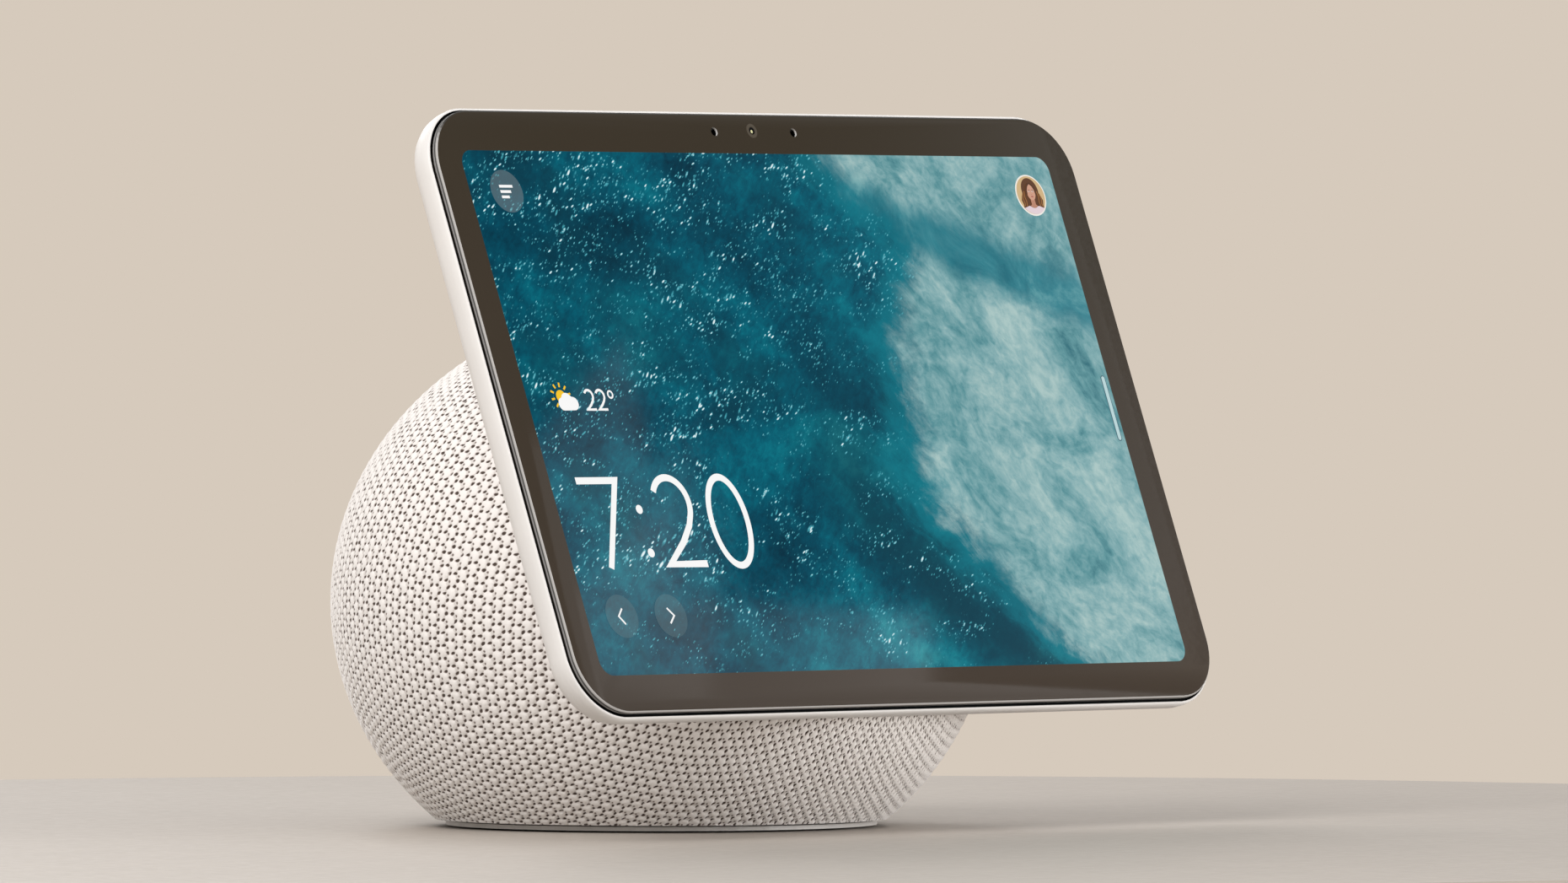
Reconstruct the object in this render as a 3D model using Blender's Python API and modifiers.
"""A smart speaker: a touch display fixed to the front of a fabric-covered ball that holds the loudspeakers.

Metres, +Z up. The origin is on the table under the axis of the ball, and the display faces -Y and leans back.
"""

from math import asin, cos, pi, radians, sin

import bmesh
import bpy
from mathutils import Matrix, Vector

# Driving dimensions, in metres.
ACTIVE_WIDTH, ACTIVE_HEIGHT = 0.1855, 0.1159  # the picture area of an 8.6-inch 16:10 panel
BORDER_SIDE, BORDER_TOP, BORDER_BOTTOM = 0.0078, 0.0089, 0.0081
LEAN = radians(20.6)  # how far the display leans back from upright
GLASS_CENTRE = (0.0, -0.0485, 0.0893)  # centre of the glass's front face
GLASS_CORNER, ACTIVE_CORNER = 0.013, 0.0034
BALL_RADIUS, BALL_HALF_HEIGHT, BALL_CENTRE_Z = 0.0708, 0.0636, 0.0480
FABRIC_THICK, SHELL_THICK = 0.0012, 0.0025
GAP = 0.0003  # clearance between pieces that meet
SLIDE = 0.0004  # clearance round a piece that moves
SMALL_ROUND = 0.001  # an edge rounding up to this size is one chamfer

GLASS_WIDTH = ACTIVE_WIDTH + 2 * BORDER_SIDE
GLASS_HEIGHT = ACTIVE_HEIGHT + BORDER_TOP + BORDER_BOTTOM
ACTIVE_CENTRE_Y = (BORDER_BOTTOM - BORDER_TOP) / 2  # the picture's centre, up from the glass's centre

# Depths in the display, behind the glass's front face.
GLASS_BACK = -0.0015
MASK_FRONT, MASK_BACK = -0.0016, -0.0018
LIP_FRONT, REBATE_FLOOR = -0.0014, -0.0021
PANEL_FRONT, PANEL_BACK = -0.0024, -0.0037
LIGHT_FRONT, LIGHT_BACK = -0.0040, -0.0053
BOARD_FRONT, BOARD_BACK = -0.0060, -0.0068
FLOOR_FRONT, HOUSING_BACK = -0.0078, -0.0092

HOUSING_GAP, LIP_WIDTH = 0.00045, 0.0006
HOUSING_WIDTH = GLASS_WIDTH + 2 * (HOUSING_GAP + LIP_WIDTH)
HOUSING_HEIGHT = GLASS_HEIGHT + 2 * (HOUSING_GAP + LIP_WIDTH)
HOUSING_CORNER = GLASS_CORNER + HOUSING_GAP + LIP_WIDTH
HOUSING_WALL, HOUSING_ROUND = 0.0017, 0.0058

CAMERA_Y = ACTIVE_CENTRE_Y + ACTIVE_HEIGHT / 2 + 0.0049
CAMERA_SIZE = (0.0070, 0.0052, 0.0022)
MIC_SPACING, MIC_HOLE = 0.0125, 0.0010
BUTTON_HEIGHTS = {"volume_up_button": 0.026, "volume_down_button": 0.010, "privacy_button": -0.012}
BUTTON_LENGTH, BUTTON_WIDTH, BUTTON_DEPTH, BUTTON_PROUD = 0.0120, 0.0024, -0.0054, 0.0005
BUTTON_FLANGE_X, BUTTON_FLANGE_THICK, BUTTON_FLANGE_WIDTH = 0.09765, 0.0008, 0.0020
SWITCH_X, SWITCH_THICK, SWITCH_HEIGHT, SWITCH_WIDTH = 0.09705, 0.0010, 0.003, 0.002

BRACKET_WIDTH, BRACKET_TOP, BRACKET_BOTTOM = 0.060, 0.000, -0.046
BRACKET_THICK = 0.0020
SCREW_PLACES = [(x, y) for y in (-0.008, -0.038) for x in (-0.024, 0.024)]
SLOT_Y, SLOT_WIDTH, SLOT_HEIGHT = 0.006, 0.026, 0.005

SPEAKER_Z = 0.050
WOOFER_FACE_Y = 0.0385
SIDE_FACE_X, SIDE_Y = 0.0385, -0.006
BAFFLE_THICK = 0.0025

FOOT_RADIUS, FOOT_THICK = 0.0395, 0.0012
PLATE_RADIUS, PLUG_RADIUS, PLATE_BOTTOM, FLANGE_TOP, PLATE_TOP = 0.0461, 0.0415, 0.0004, 0.0013, 0.0040
FABRIC_BOTTOM, SHELL_BOTTOM = 0.0016, 0.0023
BOARD_Z, BOARD_THICK = 0.0080, 0.0016
POST_PLACES = [(x, y) for y in (-0.019, 0.024) for x in (-0.028, 0.028)]
PORT_Z, PORT_WIDTH, PORT_HEIGHT = 0.017, 0.018, 0.014
WELL_WIDTH, WELL_HEIGHT, WELL_FLOOR_Y, PORT_INNER_Y = 0.013, 0.0095, 0.0500, 0.0470
JACK_RADIUS = 0.0042

GLASS_EDGE, LIP_EDGE, BUTTON_EDGE = 0.0003, 0.0003, 0.0003
MASK_MARGIN, PANEL_WIDTH, PANEL_HEIGHT, LIGHT_SHRINK = 0.0003, 0.1891, 0.1194, 0.0020
LENS_RADIUS, TOUCH_BOARD_Y, MAIN_BOARD_Y = 0.0019, 0.022, 0.004
SHANK_RADIUS, HEAD_RADIUS, HEAD_HEIGHT = 0.0013, 0.0026, 0.0018
BRACKET_HEEL_Y, BRACKET_TOE_Y, BRACKET_FOOT_WIDTH, FOOT_SCREW_X = -0.036, -0.026, 0.036, 0.012
FLEX_WIDTH, FLEX_END_Y = 0.016, -0.021
BALL_SIDES, BALL_STEPS = 40, 16
# Sides of the turned pieces, flange, throat, cone, depth, cone depth, coil, seat, motor, its height, travel.
WOOFER_SIZES = (30, 0.0315, 0.0275, 0.0215, 0.0160, 0.0080, 0.0090, 0.0170, 0.0185, 0.0125, 0.0020)
DRIVER_SIZES = (24, 0.0230, 0.0195, 0.0150, 0.0100, 0.0045, 0.0065, 0.0120, 0.0125, 0.0085, 0.0008)

WHITE_PLASTIC = ((0.80, 0.78, 0.76), 0.45, 0.0)
BLACK_PLASTIC = ((0.02, 0.02, 0.02), 0.50, 0.0)
KNIT = ((0.72, 0.68, 0.64), 0.95, 0.0)
GLASS = ((0.045, 0.038, 0.032), 0.08, 0.0)
RUBBER = ((0.06, 0.06, 0.06), 0.85, 0.0)
STEEL = ((0.60, 0.60, 0.60), 0.35, 1.0)
ALUMINIUM = ((0.75, 0.76, 0.77), 0.40, 1.0)
CIRCUIT = ((0.03, 0.18, 0.09), 0.55, 0.0)
PAPER_CONE = ((0.05, 0.05, 0.055), 0.80, 0.0)
POLYIMIDE = ((0.55, 0.28, 0.06), 0.45, 0.0)

for old in list(bpy.data.objects):
    bpy.data.objects.remove(old)
PARTS = bpy.data.collections.new("smart_speaker")
CUTTERS = bpy.data.collections.new("cutters")
for collection in (PARTS, CUTTERS):
    bpy.context.scene.collection.children.link(collection)


def empty(name, location=(0, 0, 0), rotation=(0, 0, 0)):
    """An empty that places the pieces parented to it."""
    frame = bpy.data.objects.new(name, None)
    frame.location, frame.rotation_euler = location, rotation
    PARTS.objects.link(frame)
    return frame


def material(name, finish):
    colour, roughness, metallic = finish
    made = bpy.data.materials.new(name)
    made.use_nodes = True
    shader = made.node_tree.nodes["Principled BSDF"]
    shader.inputs["Base Color"].default_value = (*colour, 1)
    shader.inputs["Roughness"].default_value = roughness
    shader.inputs["Metallic"].default_value = metallic
    return made


def piece(name, data, finish, parent=None, location=(0, 0, 0), rotation=(0, 0, 0)):
    """One sub-part, with its own material."""
    made = bpy.data.objects.new(name, data)
    made.parent, made.location, made.rotation_euler = parent, location, rotation
    data.materials.append(material(name, finish))
    if isinstance(data, bpy.types.Mesh) and len(data.polygons):
        data.shade_smooth()
        data.set_sharp_from_angle(angle=radians(35))
    PARTS.objects.link(made)
    return made


def cutter(name, data, parent=None, location=(0, 0, 0), rotation=(0, 0, 0)):
    made = bpy.data.objects.new(name, data)
    made.parent, made.location, made.rotation_euler = parent, location, rotation
    made.hide_render, made.display_type = True, "WIRE"
    CUTTERS.objects.link(made)
    return made


def cut(target, tool, operation="DIFFERENCE"):
    boolean = target.modifiers.new(tool.name, "BOOLEAN")
    boolean.operation, boolean.object = operation, tool


def mesh_from(build):
    """A mesh of what the function build adds to an empty bmesh."""
    shape = bmesh.new()
    build(shape)
    data = bpy.data.meshes.new("mesh")
    shape.to_mesh(data)
    shape.free()
    return data


def corner_steps(corner):
    return 14 if corner > 0.008 else 8


def block_mesh(size, corner=0.0, back_round=0.0, front_round=0.0):
    """A box on its centre. corner rounds the edges along Z, back_round those at -Z, front_round those at +Z."""

    def build(shape):
        bmesh.ops.create_cube(shape, size=1.0)
        bmesh.ops.scale(shape, vec=size, verts=shape.verts)
        if corner:
            upright = [e for e in shape.edges if abs(e.verts[0].co.z - e.verts[1].co.z) > size[2] / 2]
            bmesh.ops.bevel(
                shape, geom=upright, offset=corner, segments=corner_steps(corner), profile=0.5, affect="EDGES"
            )
        for rounding, end in ((back_round, -size[2] / 2), (front_round, size[2] / 2)):
            if rounding:
                rim = [e for e in shape.edges if all(abs(v.co.z - end) < 1e-6 for v in e.verts)]
                segments = 5 if rounding > SMALL_ROUND else 1
                bmesh.ops.bevel(
                    shape, geom=rim, offset=rounding, segments=segments, profile=0.5, affect="EDGES"
                )

    return mesh_from(build)


def cylinder_mesh(radius, length, sides=24):
    return mesh_from(
        lambda shape: bmesh.ops.create_cone(
            shape, cap_ends=True, segments=sides, radius1=radius, radius2=radius, depth=length
        )
    )


def block(name, finish, size, centre, parent=None, **rounding):
    return piece(name, block_mesh(size, **rounding), finish, parent, centre)


def rounded_outline(width, height, corner, centre_y=0.0, steps=None):
    """Points of a rounded rectangle, anticlockwise."""
    points = []
    steps = steps or corner_steps(corner)
    for quarter in range(4):
        side_x = 1 if quarter in (0, 3) else -1
        side_y = 1 if quarter in (0, 1) else -1
        middle = Vector((side_x * (width / 2 - corner), side_y * (height / 2 - corner) + centre_y, 0))
        for step in range(steps + 1):
            angle = (quarter + step / steps) * pi / 2
            points.append(middle + corner * Vector((cos(angle), sin(angle), 0)))
    return points


def circle_outline(radius, x=0.0, y=0.0, sides=24):
    turns = [2 * pi * i / sides for i in range(sides)]
    return [Vector((x + radius * cos(turn), y + radius * sin(turn), 0)) for turn in turns]


def sheet_curve(outlines, thickness):
    """A flat plate of these outlines, of which the inner ones are holes."""
    data = bpy.data.curves.new("outline", "CURVE")
    data.dimensions, data.fill_mode, data.extrude = "2D", "BOTH", thickness / 2
    for outline in outlines:
        spline = data.splines.new("POLY")
        spline.points.add(len(outline) - 1)
        for point, place in zip(spline.points, outline):
            point.co = (*place, 1)
        spline.use_cyclic_u = True
    return data


def flat_plate(name, finish, outlines, front, back, parent):
    """A flat plate between two depths of its parent's frame."""
    return piece(name, sheet_curve(outlines, front - back), finish, parent, (0, 0, (front + back) / 2))


def turned(name, finish, profile, steps, parent=None, location=(0, 0, 0), rotation=(0, 0, 0), closed=False):
    """A profile of (radius, z) points turned about Z: down its outer side, closed if it misses the axis."""

    def build(shape):
        points = [shape.verts.new((radius, 0, z)) for radius, z in profile]
        for first, second in zip(points, points[1:] + points[:1] if closed else points[1:]):
            shape.edges.new((first, second))

    made = piece(name, mesh_from(build), finish, parent, location, rotation)
    screw = made.modifiers.new("turn", "SCREW")
    screw.steps = screw.render_steps = steps
    screw.use_merge_vertices, screw.merge_threshold = True, 0.00002
    screw.use_smooth_shade = True
    return made


def bent_strip(name, finish, route, thickness):
    """A strip of sheet, bent along a route of (y, z, width) points, its width along X."""

    def build(shape):
        rails = [[shape.verts.new((side * width / 2, y, z)) for side in (-1, 1)] for y, z, width in route]
        for (a, b), (c, d) in zip(rails, rails[1:]):
            shape.faces.new((a, b, d, c))

    made = piece(name, mesh_from(build), finish)
    solid = made.modifiers.new("sheet", "SOLIDIFY")
    solid.thickness, solid.offset = thickness, 0
    return made


def on_display(y, depth):
    """World (y, z) of a point of the display's own frame on its middle line."""
    _, centre_y, centre_z = GLASS_CENTRE
    return (centre_y + y * sin(LEAN) - depth * cos(LEAN), centre_z + y * cos(LEAN) + depth * sin(LEAN))


def ball_arc(inset, bottom, steps):
    """The ball's profile, inset from its surface, from its top pole down to a height."""
    radius, half_height = BALL_RADIUS - inset, BALL_HALF_HEIGHT - inset
    lowest = pi / 2 + asin((BALL_CENTRE_Z - bottom) / half_height)
    angles = [lowest * i / steps for i in range(1, steps + 1)]
    pole = [(0.0, BALL_CENTRE_Z + half_height)]
    return pole + [(radius * sin(a), BALL_CENTRE_Z + half_height * cos(a)) for a in angles]


def ball_skin(name, finish, outer_inset, thickness, bottom):
    """A skin of the ball between two insets, open at the bottom."""
    outer, inner = (ball_arc(inset, bottom, BALL_STEPS) for inset in (outer_inset, outer_inset + thickness))
    return turned(name, finish, outer + inner[::-1], BALL_SIDES)


def screw_piece(name, parent, location, shank_top, seat, head_bottom):
    """A screw along Z with its head down at -Z."""
    profile = [
        (0, shank_top),
        (SHANK_RADIUS, shank_top),
        (SHANK_RADIUS, seat),
        (HEAD_RADIUS, seat),
        (HEAD_RADIUS, head_bottom),
        (0, head_bottom),
    ]
    return turned(name, STEEL, profile, 16, parent, location)


def build_glass(display):
    glass = block(
        "cover_glass",
        GLASS,
        (GLASS_WIDTH, GLASS_HEIGHT, -GLASS_BACK),
        (0, 0, GLASS_BACK / 2),
        display,
        corner=GLASS_CORNER,
        back_round=GLASS_EDGE,
        front_round=GLASS_EDGE,
    )
    for side in (-1, 1):
        hole = cutter(
            f"mic_hole_{side}", cylinder_mesh(MIC_HOLE, 0.006, 16), display, (side * MIC_SPACING, CAMERA_Y, 0)
        )
        cut(glass, hole)


def build_panel(display):
    """The printed mask behind the glass, the picture panel with its backlight, and the frame round them."""
    holes = [circle_outline(MIC_HOLE + GAP, side * MIC_SPACING, CAMERA_Y, 16) for side in (-1, 1)]
    margin = 2 * MASK_MARGIN
    window = rounded_outline(ACTIVE_WIDTH, ACTIVE_HEIGHT, ACTIVE_CORNER, ACTIVE_CENTRE_Y)
    mask = rounded_outline(GLASS_WIDTH - margin, GLASS_HEIGHT - margin, GLASS_CORNER - MASK_MARGIN)
    eye = circle_outline(LENS_RADIUS, 0, CAMERA_Y, 16)
    flat_plate("bezel_mask", BLACK_PLASTIC, [mask, window, eye, *holes], MASK_FRONT, MASK_BACK, display)

    inside = (HOUSING_WIDTH - 2 * HOUSING_WALL, HOUSING_HEIGHT - 2 * HOUSING_WALL)
    outer = rounded_outline(inside[0] - 2 * GAP, inside[1] - 2 * GAP, HOUSING_CORNER - HOUSING_WALL)
    inner = rounded_outline(PANEL_WIDTH + 2 * GAP, PANEL_HEIGHT + 2 * GAP, 0.001, ACTIVE_CENTRE_Y, steps=2)
    eye = circle_outline(LENS_RADIUS + GAP, 0, CAMERA_Y, 16)
    flat_plate("gasket_frame", BLACK_PLASTIC, [outer, inner, eye, *holes], PANEL_FRONT, PANEL_BACK, display)

    for name, finish, shrink, front, back in (
        ("lcd_panel", GLASS, 0.0, PANEL_FRONT, PANEL_BACK),
        ("backlight_unit", ALUMINIUM, LIGHT_SHRINK, LIGHT_FRONT, LIGHT_BACK),
    ):
        size = (PANEL_WIDTH - shrink, PANEL_HEIGHT - shrink, front - back)
        block(name, finish, size, (0, ACTIVE_CENTRE_Y, (front + back) / 2), display)


def build_housing(display):
    depth = LIP_FRONT - HOUSING_BACK
    housing = block(
        "display_housing",
        WHITE_PLASTIC,
        (HOUSING_WIDTH, HOUSING_HEIGHT, depth),
        (0, 0, HOUSING_BACK + depth / 2),
        display,
        corner=HOUSING_CORNER,
        back_round=HOUSING_ROUND,
        front_round=LIP_EDGE,
    )
    tall = 0.012
    cavity = block_mesh(
        (HOUSING_WIDTH - 2 * HOUSING_WALL, HOUSING_HEIGHT - 2 * HOUSING_WALL, tall),
        corner=HOUSING_CORNER - HOUSING_WALL,
        back_round=HOUSING_ROUND - HOUSING_WALL,
    )
    rebate = block_mesh(
        (GLASS_WIDTH + 2 * HOUSING_GAP, GLASS_HEIGHT + 2 * HOUSING_GAP, tall),
        corner=GLASS_CORNER + HOUSING_GAP,
    )
    cut(housing, cutter("housing_cavity", cavity, display, (0, 0, FLOOR_FRONT + tall / 2)))
    cut(housing, cutter("glass_rebate", rebate, display, (0, 0, REBATE_FLOOR + tall / 2)))
    slot = block_mesh((SLOT_WIDTH, SLOT_HEIGHT, tall / 2))
    cut(housing, cutter("flex_slot", slot, display, (0, SLOT_Y, HOUSING_BACK)))
    for name, height in BUTTON_HEIGHTS.items():
        slot = block_mesh((BUTTON_WIDTH + 2 * SLIDE, BUTTON_LENGTH + 2 * SLIDE, tall / 2))
        place = (HOUSING_WIDTH / 2, height, BUTTON_DEPTH)
        cut(housing, cutter(f"{name}_slot", slot, display, place, (0, pi / 2, 0)))
    return housing


def build_buttons(display):
    """Three buttons in the housing's right-hand edge, which slide in along X, each over its own switch."""
    outer_face = HOUSING_WIDTH / 2 + BUTTON_PROUD
    length = outer_face - BUTTON_FLANGE_X
    for number, (name, height) in enumerate(BUTTON_HEIGHTS.items(), start=1):
        centre = (outer_face - length / 2, height, BUTTON_DEPTH)
        cap = block_mesh(
            (BUTTON_WIDTH, BUTTON_LENGTH, length), corner=0.48 * BUTTON_WIDTH, front_round=BUTTON_EDGE
        )
        button = piece(name, cap, WHITE_PLASTIC, display, centre, (0, pi / 2, 0))
        flange = block_mesh((BUTTON_FLANGE_WIDTH, BUTTON_LENGTH + 0.002, BUTTON_FLANGE_THICK))
        flange_x = BUTTON_FLANGE_X + BUTTON_FLANGE_THICK / 2
        cut(
            button,
            cutter(f"{name}_flange", flange, display, (flange_x, height, BUTTON_DEPTH), (0, pi / 2, 0)),
            "UNION",
        )
        size = (SWITCH_THICK, SWITCH_HEIGHT, SWITCH_WIDTH)
        block(f"switch_{number}", STEEL, size, (SWITCH_X - SWITCH_THICK / 2, height, BUTTON_DEPTH), display)
    top, bottom = max(BUTTON_HEIGHTS.values()), min(BUTTON_HEIGHTS.values())
    board_x = SWITCH_X - SWITCH_THICK - GAP - BOARD_THICK / 4
    size = (BOARD_THICK / 2, top - bottom + BUTTON_LENGTH, 0.0028)
    block("button_board", CIRCUIT, size, (board_x, (top + bottom) / 2, BUTTON_DEPTH), display)


def build_display_electronics(display):
    size = (0.060, 0.016, BOARD_FRONT - BOARD_BACK)
    block("touch_board", CIRCUIT, size, (0, TOUCH_BOARD_Y, (BOARD_FRONT + BOARD_BACK) / 2), display)
    centre = (0, CAMERA_Y - 0.0004, LIGHT_FRONT - CAMERA_SIZE[2] / 2)
    block("camera_module", BLACK_PLASTIC, CAMERA_SIZE, centre, display)
    lens_radius = LENS_RADIUS - GAP
    front = MASK_BACK - GAP / 2
    slopes = (pi / 8, pi / 4, 3 * pi / 8, pi / 2)
    dome = [(lens_radius * sin(a), front - 0.0006 * (1 - cos(a))) for a in slopes]
    profile = [(0, front), *dome, (lens_radius, PANEL_BACK), (0, PANEL_BACK)]
    turned("camera_lens", GLASS, profile, 16, display, (0, CAMERA_Y, 0))
    for side, name in ((-1, "left"), (1, "right")):
        centre = (side * MIC_SPACING, CAMERA_Y, LIGHT_FRONT - 0.0006)
        block(f"microphone_{name}", STEEL, (0.004, 0.003, 0.0011), centre, display)


def build_neck(display, housing):
    """The steel bracket that carries the display on the base plate, with its screws."""
    middle = HOUSING_BACK - GAP - BRACKET_THICK / 2
    foot_z = PLATE_TOP + GAP + BRACKET_THICK / 2
    route = [
        (*on_display(BRACKET_TOP, middle), BRACKET_WIDTH),
        (*on_display(BRACKET_BOTTOM, middle), BRACKET_WIDTH),
        (BRACKET_HEEL_Y, foot_z, BRACKET_FOOT_WIDTH),
        (BRACKET_TOE_Y, foot_z, BRACKET_FOOT_WIDTH),
    ]
    bracket = bent_strip("display_bracket", STEEL, route, BRACKET_THICK)
    seat = middle - BRACKET_THICK / 2 - GAP
    for number, (x, y) in enumerate(SCREW_PLACES, start=1):
        bore = cylinder_mesh(SHANK_RADIUS + SLIDE, 0.008, 16)
        hole = cutter(f"screw_hole_{number}", bore, display, (x, y, HOUSING_BACK))
        cut(housing, hole)
        cut(bracket, hole)
        tip = FLOOR_FRONT + 0.0006
        screw_piece(f"display_screw_{number}", display, (x, y, 0), tip, seat, seat - HEAD_HEIGHT)
    return bracket


def build_flex(main_board_top):
    """The ribbon that joins the touch board to the main board through the slot in the housing's back."""
    start_y = TOUCH_BOARD_Y - 0.008 - GAP
    route = [
        on_display(start_y, BOARD_BACK + 0.0003),
        on_display(start_y - 0.0035, BOARD_BACK - 0.0002),
        on_display(SLOT_Y + 0.0008, BOARD_BACK - 0.0008),
        on_display(SLOT_Y, HOUSING_BACK + 0.0006),
        on_display(SLOT_Y, HOUSING_BACK - 0.0030),
        on_display(SLOT_Y - 0.0015, HOUSING_BACK - 0.0065),
        (FLEX_END_Y - 0.002, 0.060),
        (FLEX_END_Y, main_board_top + 0.004),
        (FLEX_END_Y + 0.001, main_board_top + GAP),
    ]
    bent_strip("display_flex", POLYIMIDE, [(y, z, FLEX_WIDTH) for y, z in route], 0.0003)


def build_base(display, bracket):
    """The knitted sleeve over the hard shell, the base plate with its rubber foot, and the power inlet."""
    sleeve = ball_skin("fabric_sleeve", KNIT, 0.0, FABRIC_THICK, FABRIC_BOTTOM)
    shell = ball_skin("base_shell", WHITE_PLASTIC, FABRIC_THICK + GAP, SHELL_THICK, SHELL_BOTTOM)
    room = SLIDE
    back, front = HOUSING_BACK - room, 0.020
    opening = block_mesh(
        (HOUSING_WIDTH + 2 * room, HOUSING_HEIGHT + 2 * room, front - back),
        corner=HOUSING_CORNER + room,
        back_round=HOUSING_ROUND + room,
    )
    opening = cutter("display_opening", opening, display, (0, 0, (front + back) / 2))
    port_opening = block_mesh((PORT_WIDTH + 2 * GAP, 0.030, PORT_HEIGHT + 2 * GAP))
    port_opening = cutter("port_opening", port_opening, location=(0, BALL_RADIUS - 0.012, PORT_Z))
    for skin in (sleeve, shell):
        cut(skin, opening)
        cut(skin, port_opening)

    pocket_radius, pocket_top = FOOT_RADIUS + GAP, FOOT_THICK + GAP
    plate = turned(
        "base_plate",
        WHITE_PLASTIC,
        [
            (0, PLATE_TOP),
            (PLUG_RADIUS, PLATE_TOP),
            (PLUG_RADIUS, FLANGE_TOP),
            (PLATE_RADIUS, FLANGE_TOP),
            (PLATE_RADIUS, PLATE_BOTTOM),
            (pocket_radius, PLATE_BOTTOM),
            (pocket_radius, pocket_top),
            (0, pocket_top),
        ],
        BALL_SIDES,
    )
    piece("foot_pad", cylinder_mesh(FOOT_RADIUS, FOOT_THICK, 48), RUBBER, location=(0, 0, FOOT_THICK / 2))
    seat = PLATE_TOP + GAP + BRACKET_THICK + GAP
    for number, x in enumerate((-FOOT_SCREW_X, FOOT_SCREW_X), start=1):
        place = (x, (BRACKET_HEEL_Y + BRACKET_TOE_Y) / 2, 0)
        bore = cylinder_mesh(SHANK_RADIUS + SLIDE, 0.020, 16)
        hole = cutter(f"foot_screw_hole_{number}", bore, location=(*place[:2], seat / 2))
        cut(plate, hole)
        cut(bracket, hole)
        upside_down = empty(f"foot_screw_{number}_place", (place[0], place[1], seat), (pi, 0, 0))
        screw_piece(f"foot_screw_{number}", upside_down, (0, 0, 0), seat - pocket_top, 0.0, -HEAD_HEIGHT)


def build_port():
    """The recessed power inlet low in the back of the ball."""
    outer_y = BALL_RADIUS + 0.002
    length = outer_y - PORT_INNER_Y
    size = (PORT_WIDTH, length, PORT_HEIGHT)
    frame = block("port_frame", BLACK_PLASTIC, size, (0, PORT_INNER_Y + length / 2, PORT_Z))
    rings = BALL_SIDES // 2
    form = mesh_from(
        lambda shape: bmesh.ops.create_uvsphere(shape, u_segments=BALL_SIDES, v_segments=rings, radius=1.0)
    )
    form.transform(Matrix.Diagonal((BALL_RADIUS, BALL_RADIUS, BALL_HALF_HEIGHT, 1)))
    cut(frame, cutter("ball_form", form, location=(0, 0, BALL_CENTRE_Z)), "INTERSECT")
    well = block_mesh((WELL_WIDTH, 0.030, WELL_HEIGHT))
    cut(frame, cutter("well", well, location=(0, WELL_FLOOR_Y + 0.015, PORT_Z)))
    facing_back = empty("jack_place", (0, WELL_FLOOR_Y, PORT_Z), (pi / 2, 0, pi))
    cut(frame, cutter("jack_bore", cylinder_mesh(JACK_RADIUS + GAP, 0.012, 24), facing_back))
    nose, end, bore_end = 0.0035, -0.0083, -0.0060
    pin_radius, bore_radius = 0.0008, 0.0029
    profile = [
        (0, nose - 0.0010),
        (pin_radius, nose - 0.0010),
        (pin_radius, bore_end),
        (bore_radius, bore_end),
        (bore_radius, nose),
        (JACK_RADIUS, nose),
        (JACK_RADIUS, end),
        (0, end),
    ]
    turned("dc_jack", BLACK_PLASTIC, profile, 24, facing_back)


def build_main_board():
    top = BOARD_Z + BOARD_THICK
    size = (0.068, 0.056, BOARD_THICK)
    block("main_board", CIRCUIT, size, (0, MAIN_BOARD_Y, BOARD_Z + BOARD_THICK / 2))
    height = BOARD_Z - PLATE_TOP - 2 * GAP
    for number, (x, y) in enumerate(POST_PLACES, start=1):
        place = (x, y, PLATE_TOP + GAP + height / 2)
        piece(f"board_post_{number}", cylinder_mesh(0.0025, height, 16), STEEL, location=place)
    fins, fin_pitch, fin_thick, fin_height, sole = 6, 0.0055, 0.0012, 0.008, 0.002
    outline = [Vector((-fin_pitch * (fins - 1) / 2 - fin_thick / 2, 0, 0))]
    outline.append(outline[0] + Vector((fin_pitch * (fins - 1) + fin_thick, 0, 0)))
    for fin in reversed(range(fins)):
        centre = (fin - (fins - 1) / 2) * fin_pitch
        right, left = centre + fin_thick / 2, centre - fin_thick / 2
        lowest = [sole if fin < fins - 1 else None, sole if fin else None]
        if lowest[0]:
            outline.append(Vector((right, sole, 0)))
        outline += [Vector((right, sole + fin_height, 0)), Vector((left, sole + fin_height, 0))]
        if lowest[1]:
            outline.append(Vector((left, sole, 0)))
    sink = sheet_curve([outline], 0.026)
    piece("heat_sink", sink, ALUMINIUM, location=(0, 0.012, top + GAP), rotation=(pi / 2, 0, 0))
    block("rf_shield", STEEL, (0.022, 0.016, 0.003), (0.020, -0.012, top + GAP + 0.0015))
    return top


def baffle_outline(radius, foot_half_width, drop, steps=28):
    """A disc with a foot that reaches down to the base plate."""
    notch = asin(foot_half_width / radius)
    angles = [-pi / 2 + notch + (2 * pi - 2 * notch) * i / steps for i in range(steps + 1)]
    arc = [Vector((radius * cos(a), radius * sin(a), 0)) for a in angles]
    return [Vector((-foot_half_width, -drop, 0)), Vector((foot_half_width, -drop, 0)), *arc]


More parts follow.
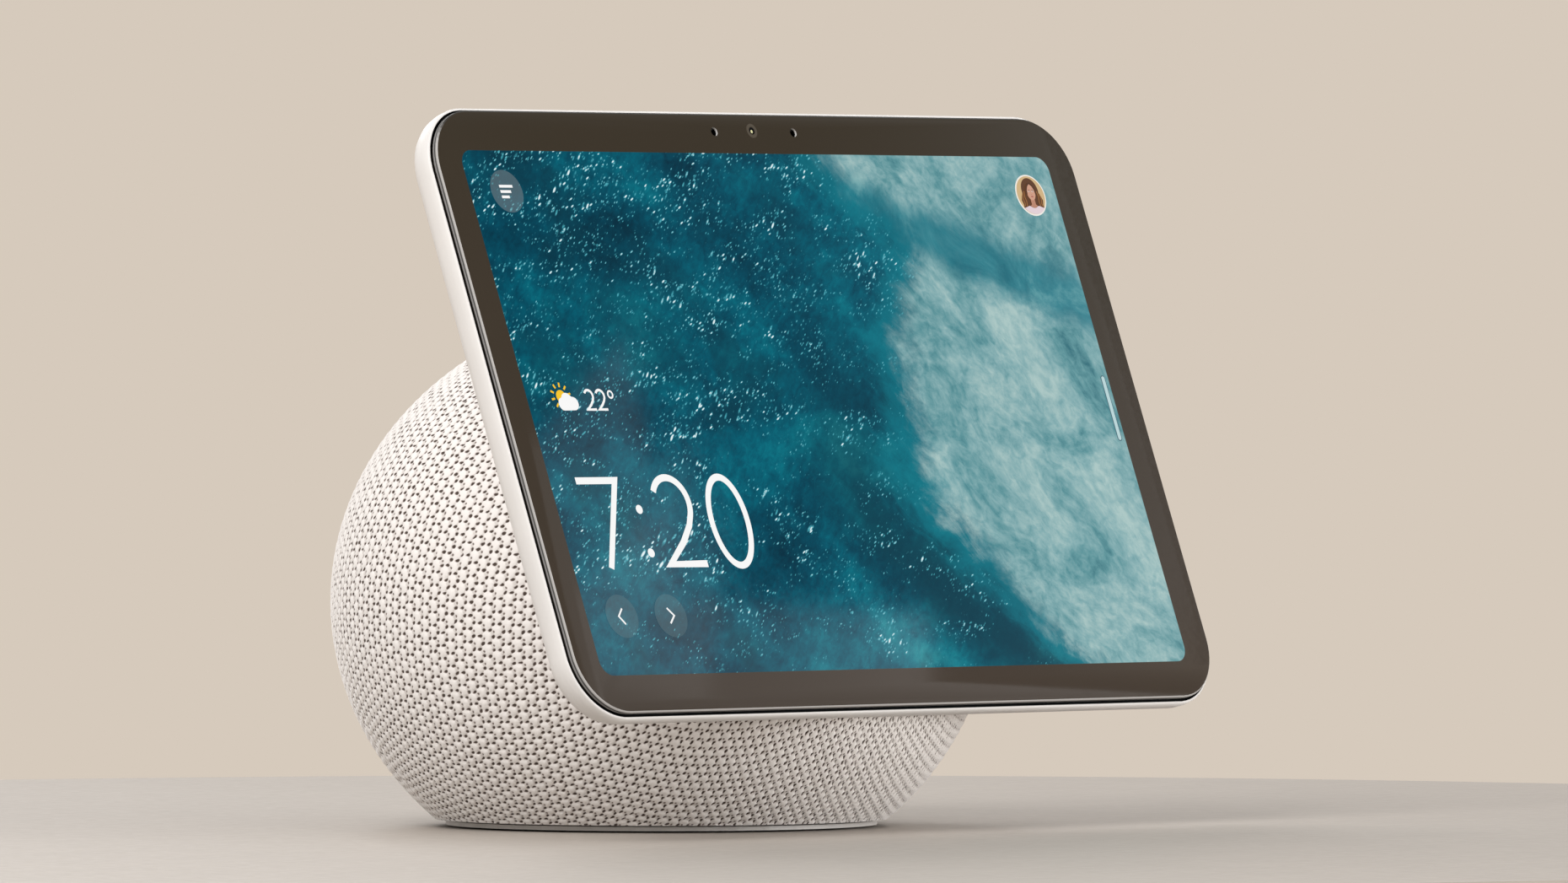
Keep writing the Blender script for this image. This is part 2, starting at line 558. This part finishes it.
def build_driver(name, place, sizes, baffle_radius, foot_half_width):
    """A loudspeaker in its baffle. Its axis is the place's Z, which points out of the ball from its rim."""
    sides, flange, throat, cone, depth, cone_depth, coil, seat, motor, motor_height, travel = sizes
    wall, paper = 0.0012, 0.0006
    outline = baffle_outline(baffle_radius, foot_half_width, SPEAKER_Z - PLATE_TOP - GAP)
    hole = circle_outline(throat + GAP, sides=sides)
    flat_plate(f"{name}_baffle", BLACK_PLASTIC, [outline, hole], 0, -BAFFLE_THICK, place)

    rim_top = GAP + wall
    frame_profile = [
        (flange, rim_top),
        (flange, GAP),
        (throat, GAP),
        (throat, -BAFFLE_THICK),
        (seat, -depth),
        (coil + 0.002, -depth),
        (coil + 0.002, wall - depth),
        (seat - wall, wall - depth),
        (throat - wall, -BAFFLE_THICK),
        (throat - wall, rim_top),
    ]
    turned(f"{name}_frame", STEEL, frame_profile, sides, place, closed=True)

    slot = 0.0009
    slot_depth = 2 * travel + 0.003
    motor_top = -depth - GAP
    motor_profile = [
        (0, motor_top),
        (coil - slot, motor_top),
        (coil - slot, motor_top - slot_depth),
        (coil + slot, motor_top - slot_depth),
        (coil + slot, motor_top),
        (motor, motor_top),
        (motor, motor_top - motor_height),
        (0, motor_top - motor_height),
    ]
    turned(f"{name}_motor", STEEL, motor_profile, sides, place)

    cone_rim, dome = -0.0008, 0.0015
    cap = [(0, dome - cone_depth), (0.6 * coil, 0.75 * dome - cone_depth)]
    front = cap + [(coil, -cone_depth), (cone, cone_rim)]
    back = [(radius, z - paper) for radius, z in reversed(front)]
    turned(f"{name}_cone", PAPER_CONE, front + back, sides, place)

    coil_top = -cone_depth - paper - GAP - 0.0004
    coil_bottom = motor_top - travel - 0.0015
    half = 0.00035
    coil_profile = [
        (coil + half, coil_top),
        (coil + half, coil_bottom),
        (coil - half, coil_bottom),
        (coil - half, coil_top),
    ]
    turned(f"{name}_coil", POLYIMIDE, coil_profile, sides, place, closed=True)

    inner, outer, skin = cone + GAP, throat - wall - GAP, 0.0006
    middle, roll = (inner + outer) / 2, (outer - inner) / 2
    bend = [pi * i / 4 for i in range(5)]
    over = [(middle - roll * cos(a), cone_rim + roll * sin(a)) for a in bend]
    under = [(middle - (roll - skin) * cos(a), cone_rim + (roll - skin) * sin(a)) for a in reversed(bend)]
    turned(f"{name}_surround", RUBBER, over + under, sides, place, closed=True)


def build_speakers():
    facing_back = empty("woofer_place", (0, WOOFER_FACE_Y, SPEAKER_Z), (pi / 2, 0, pi))
    build_driver("woofer", facing_back, WOOFER_SIZES, 0.033, 0.009)
    for side, name in ((-1, "left"), (1, "right")):
        centre = (side * SIDE_FACE_X, SIDE_Y, SPEAKER_Z)
        place = empty(f"{name}_driver_place", centre, (pi / 2, 0, side * pi / 2))
        build_driver(f"{name}_driver", place, DRIVER_SIZES, 0.025, 0.007)


display_frame = empty("display_place", GLASS_CENTRE, (pi / 2 - LEAN, 0, 0))
build_glass(display_frame)
build_panel(display_frame)
display_housing = build_housing(display_frame)
build_buttons(display_frame)
build_display_electronics(display_frame)
display_bracket = build_neck(display_frame, display_housing)
build_flex(build_main_board())
build_base(display_frame, display_bracket)
build_port()
build_speakers()
